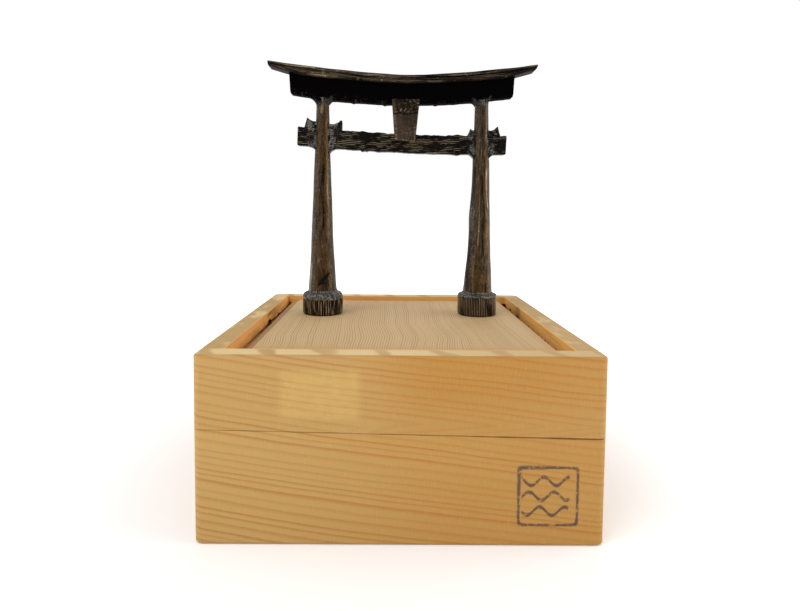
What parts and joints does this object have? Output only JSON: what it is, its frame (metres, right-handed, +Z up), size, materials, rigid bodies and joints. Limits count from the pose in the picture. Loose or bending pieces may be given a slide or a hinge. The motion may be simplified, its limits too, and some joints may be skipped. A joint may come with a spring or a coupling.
{
  "type": "model torii gate on wooden box",
  "caption": "Cast bronze model torii gate with upswept cap, tie beam and ribbed pillar collars, standing on the recessed lid of a square wooden box.",
  "frame": {"origin": "centre of the box's underside, on the surface that it rests on", "axes": "+Z up; +X to the right along the gate's beams, seen from the front; +Y from the front of the box to its back, through the gate"},
  "size_m": [0.12, 0.12, 0.1577],
  "materials": {
    "box_wood": "unfinished paulownia, honey brown with age, fine growth lines",
    "lip_wood": "unfinished, pale",
    "board_wood": "unfinished, greyish tan, fine straight grain front to back",
    "cap_bronze": "olive brown patina, lengthwise ridges",
    "beam_bronze": "near-black patina, fine lengthwise ridges, grey solder at the joints",
    "pillar_bronze": "worn brown and grey-green patina, upright streaks",
    "collar_bronze": "dark patina, bark-like upright ribs with worn light edges",
    "tablet_bronze": "brown olive patina with lighter worn edges"
  },
  "bodies": {
    "box": {"box_floor": "box_wood", "box_front_wall": "box_wood", "box_back_wall": "box_wood", "box_left_wall": "box_wood", "box_right_wall": "box_wood", "box_lip_front": "lip_wood", "box_lip_back": "lip_wood", "box_lip_left": "lip_wood", "box_lip_right": "lip_wood"},
    "lid": {"lid_board": "board_wood", "lid_front_wall": "box_wood", "lid_back_wall": "box_wood", "lid_left_wall": "box_wood", "lid_right_wall": "box_wood"},
    "gate": {"kasagi_cap": "cap_bronze", "shimaki_beam": "beam_bronze", "nuki_tie_beam": "beam_bronze", "left_pillar": "pillar_bronze", "right_pillar": "pillar_bronze", "left_collar": "collar_bronze", "right_collar": "collar_bronze", "left_outer_wedge": "beam_bronze", "left_inner_wedge": "beam_bronze", "right_inner_wedge": "beam_bronze", "right_outer_wedge": "beam_bronze", "name_tablet": "tablet_bronze"}
  },
  "joints": [
    {"name": "lid_lift", "type": "slide", "parent": "box", "child": "lid", "axis": [0, 0, 1], "range_m": [0, 0.04]},
    {"name": "gate_lift", "type": "slide", "parent": "lid", "child": "gate", "axis": [0, 0, 1], "range_m": [0, 0.03]}
  ]
}
